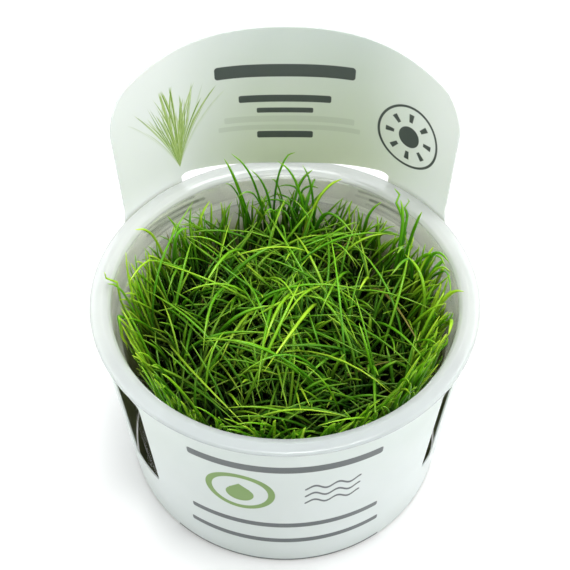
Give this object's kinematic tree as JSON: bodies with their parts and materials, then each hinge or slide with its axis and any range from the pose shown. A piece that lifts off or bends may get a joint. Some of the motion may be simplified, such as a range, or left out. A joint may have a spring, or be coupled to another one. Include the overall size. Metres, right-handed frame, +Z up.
{
  "type": "dwarf hairgrass in a clear cup",
  "caption": "Dwarf hairgrass tufts rooted on gel in a clear flanged cup, with a foil sleeve that rises to a tall curved tongue at the back.",
  "frame": {"origin": "centre of the cup's underside, on the surface that the cup stands on", "axes": "+Z up along the cup's axis, +Y towards the sleeve's tall tongue at the back, -Y towards the front, +X to the right seen from the front"},
  "size_m": [0.08, 0.08, 0.0857],
  "materials": {
    "clear_cup": "clear injection-moulded plastic, smooth, slightly milky",
    "sleeve_foil": null,
    "nutrient_gel": "cloudy agar gel, wet and glossy on top",
    "hairgrass": "living grass blades, bright green and slightly glossy, paler at the crown"
  },
  "bodies": {
    "root": {"cup": "clear_cup", "foil_sleeve": "sleeve_foil", "nutrient_gel": "nutrient_gel", "tuft_01": "hairgrass", "tuft_02": "hairgrass", "tuft_03": "hairgrass", "tuft_04": "hairgrass", "tuft_05": "hairgrass", "tuft_06": "hairgrass", "tuft_07": "hairgrass", "tuft_08": "hairgrass", "tuft_09": "hairgrass", "tuft_10": "hairgrass", "tuft_11": "hairgrass", "tuft_12": "hairgrass", "tuft_13": "hairgrass", "tuft_14": "hairgrass", "tuft_15": "hairgrass", "tuft_16": "hairgrass", "tuft_17": "hairgrass", "tuft_18": "hairgrass", "tuft_19": "hairgrass", "tuft_20": "hairgrass", "tuft_21": "hairgrass", "tuft_22": "hairgrass", "tuft_23": "hairgrass", "tuft_24": "hairgrass", "tuft_25": "hairgrass", "tuft_26": "hairgrass", "tuft_27": "hairgrass", "tuft_28": "hairgrass", "tuft_29": "hairgrass", "tuft_30": "hairgrass", "tuft_31": "hairgrass", "tuft_32": "hairgrass", "tuft_33": "hairgrass", "tuft_34": "hairgrass", "tuft_35": "hairgrass", "tuft_36": "hairgrass", "tuft_37": "hairgrass", "tuft_38": "hairgrass", "tuft_39": "hairgrass", "tuft_40": "hairgrass", "tuft_41": "hairgrass", "tuft_42": "hairgrass", "tuft_43": "hairgrass", "tuft_44": "hairgrass"}
  },
  "joints": []
}
